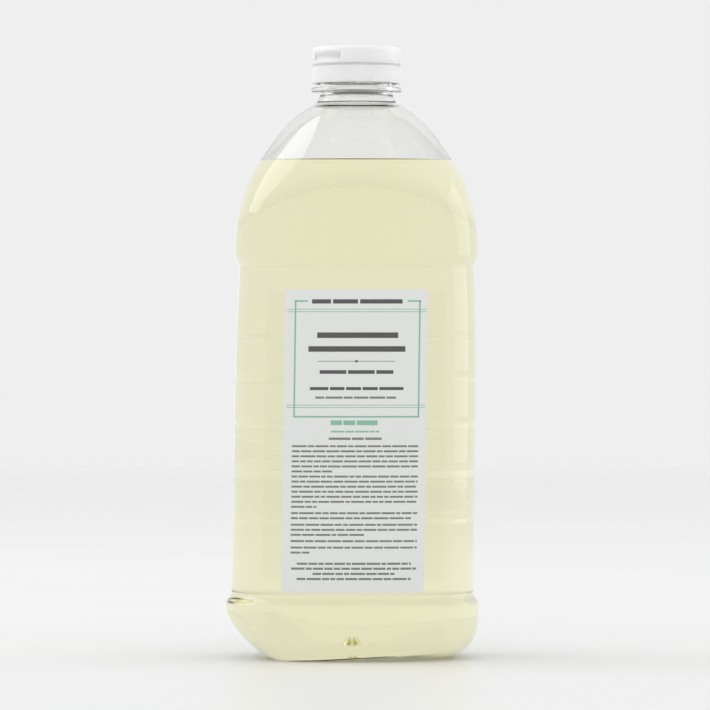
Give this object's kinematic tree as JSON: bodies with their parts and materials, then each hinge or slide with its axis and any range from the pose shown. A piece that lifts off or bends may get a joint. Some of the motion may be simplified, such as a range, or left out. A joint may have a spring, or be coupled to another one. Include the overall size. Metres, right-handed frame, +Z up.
{
  "type": "hand soap refill bottle",
  "caption": "Clear oblong refill bottle filled with pale yellow liquid hand soap, with a domed shoulder, front label and a screw-on flip-top cap.",
  "frame": {"origin": "on the floor under the bottle, at the middle of its box", "axes": "+Z up through the neck, front label facing -Y, +X to the label's right"},
  "size_m": [0.1199, 0.0952, 0.2887],
  "materials": {
    "clear_pet": "clear blown PET, glossy",
    "soap": "clear pale yellow-green liquid",
    "label_film": "satin white printed film",
    "liner_foam": "matt foamed polyethylene",
    "cap_plastic": "translucent natural polypropylene, satin",
    "lid_plastic": "translucent natural polypropylene, satin"
  },
  "bodies": {
    "bottle": {"bottle": "clear_pet", "liquid_soap": "soap", "front_label": "label_film"},
    "liner": {"cap_liner": "liner_foam"},
    "cap": {"cap_body": "cap_plastic"},
    "lid": {"flip_lid": "lid_plastic"}
  },
  "joints": [
    {"name": "cap_lift", "type": "slide", "parent": "bottle", "child": "liner", "axis": [0, 0, 1], "range_m": [0, 0.0053]},
    {"name": "cap_turn", "type": "hinge", "parent": "liner", "child": "cap", "pos_m": [0.0021, 0, 0.2754], "axis": [0, 0, 1], "range_deg": [0, 450]},
    {"name": "lid_hinge", "type": "hinge", "parent": "cap", "child": "lid", "pos_m": [0.01709, 0.01398, 0.28025], "axis": [-0.682, 0.7314, 0], "range_deg": [0, 150]}
  ],
  "couplings": [
    {"joint": "cap_lift", "follows": "cap_turn", "m_per_rad": 0.00067322}
  ]
}
